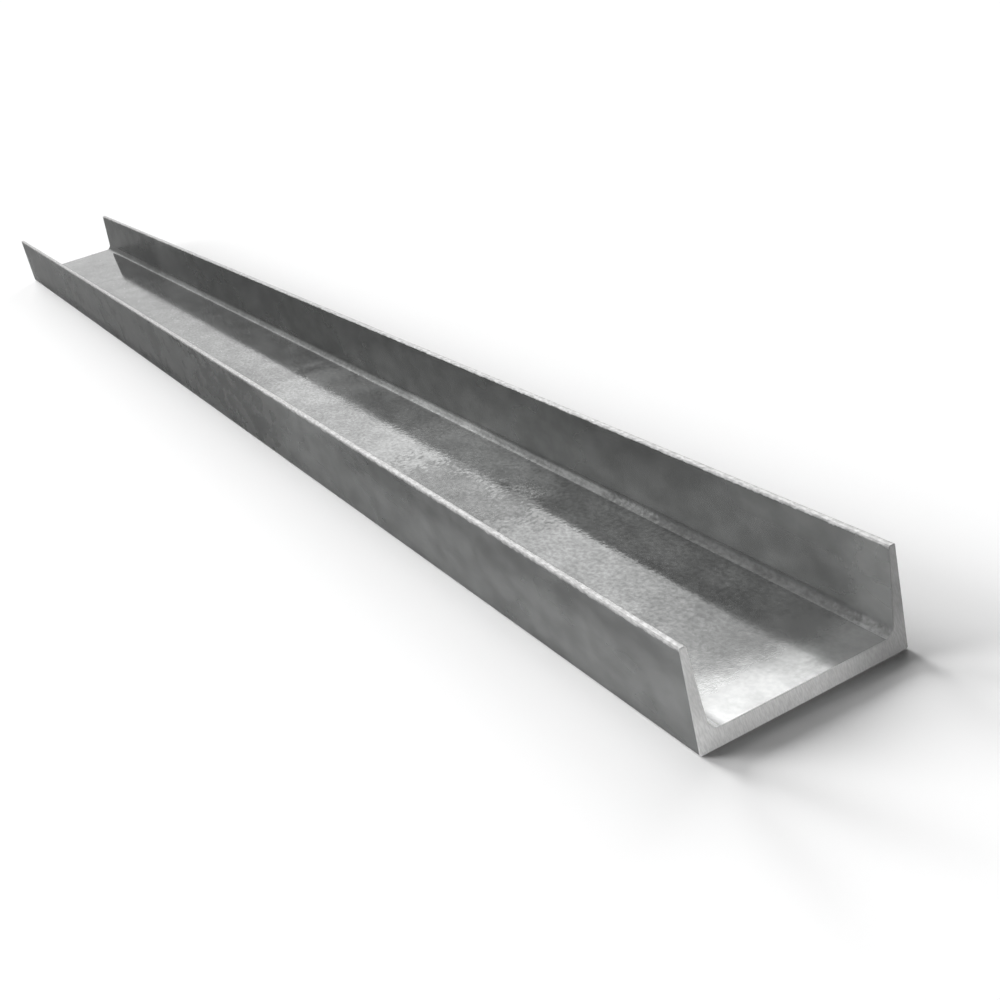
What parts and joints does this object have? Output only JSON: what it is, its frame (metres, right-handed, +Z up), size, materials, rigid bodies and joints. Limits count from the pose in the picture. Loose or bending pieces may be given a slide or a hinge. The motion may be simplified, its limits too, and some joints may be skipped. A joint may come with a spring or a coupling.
{
  "type": "titanium channel",
  "caption": "Straight length of taper-flange channel stock: a flat web between upright flanges that thin towards their tips, with rounded roots and square sawn ends.",
  "frame": {"origin": "middle of the underside of the web, halfway along the stock", "axes": "+X along the stock towards the near sawn end, +Y across the web towards the right flange, +Z up from the web towards the flange tips"},
  "size_m": [1, 0.075, 0.035],
  "materials": {
    "titanium": "satin"
  },
  "bodies": {
    "root": {"channel": "titanium"}
  },
  "joints": []
}
